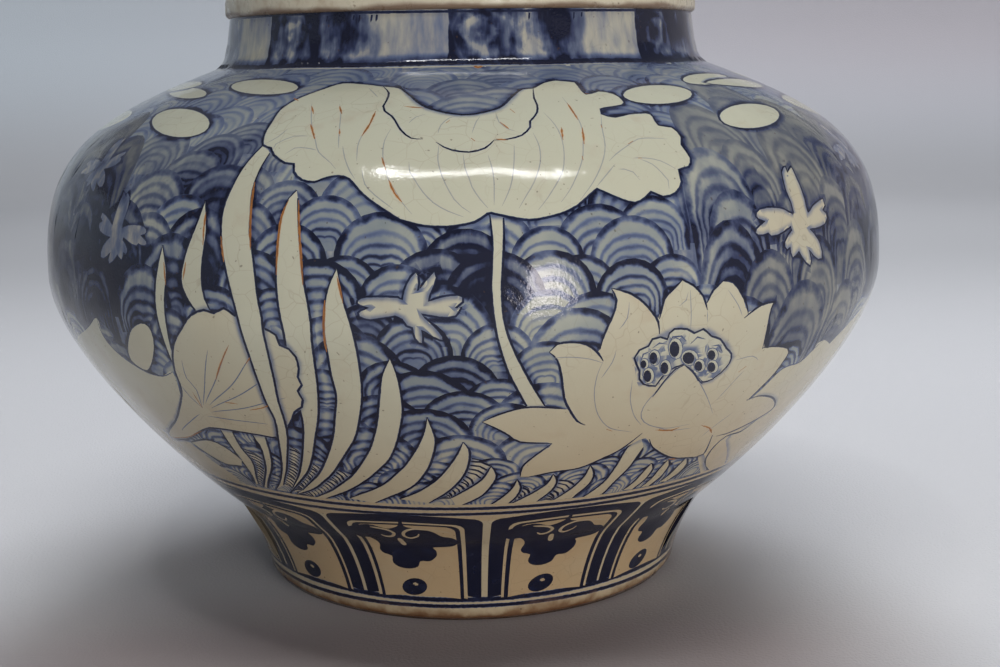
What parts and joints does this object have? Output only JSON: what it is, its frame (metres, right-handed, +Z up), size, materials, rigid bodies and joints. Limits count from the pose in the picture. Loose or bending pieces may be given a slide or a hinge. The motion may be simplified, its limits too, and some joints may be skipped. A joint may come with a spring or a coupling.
{
  "type": "lidless storage jar",
  "caption": "Wide-bellied porcelain storage jar with a short neck, a rolled lip and a tapering foot, thrown in sections joined with slip.",
  "frame": {"origin": "centre of the foot's flat base, on the surface that the jar stands on", "axes": "+Z up along the jar's turning axis; -Y faces the viewer of the picture; round about Z"},
  "size_m": [0.4, 0.4, 0.28],
  "materials": {
    "painted_wall": "clear, slightly grey-green glaze over cobalt painting of a lotus pond on waves, fine crackle, gloss",
    "painted_foot": "clear glaze over cobalt lappet panels, gloss, with a bare rust-edged foot ring",
    "painted_neck": "clear glaze over brushed cobalt wave bands, gloss",
    "lip_glaze": "thin, worn, cream-tan glaze, satin",
    "bare_body": "unglazed fired porcelain body, turned smooth, burnt tan where bare",
    "joint_slip": "fired slip, finger-smoothed, thinly glazed over"
  },
  "bodies": {
    "root": {"foot_section": "painted_foot", "base_disc": "bare_body", "lower_body": "painted_wall", "upper_body": "painted_wall", "neck_collar": "painted_neck", "mouth_rim": "lip_glaze", "floor_slip": "joint_slip", "waist_slip": "joint_slip", "belly_slip": "joint_slip", "neck_slip": "joint_slip"}
  },
  "joints": []
}
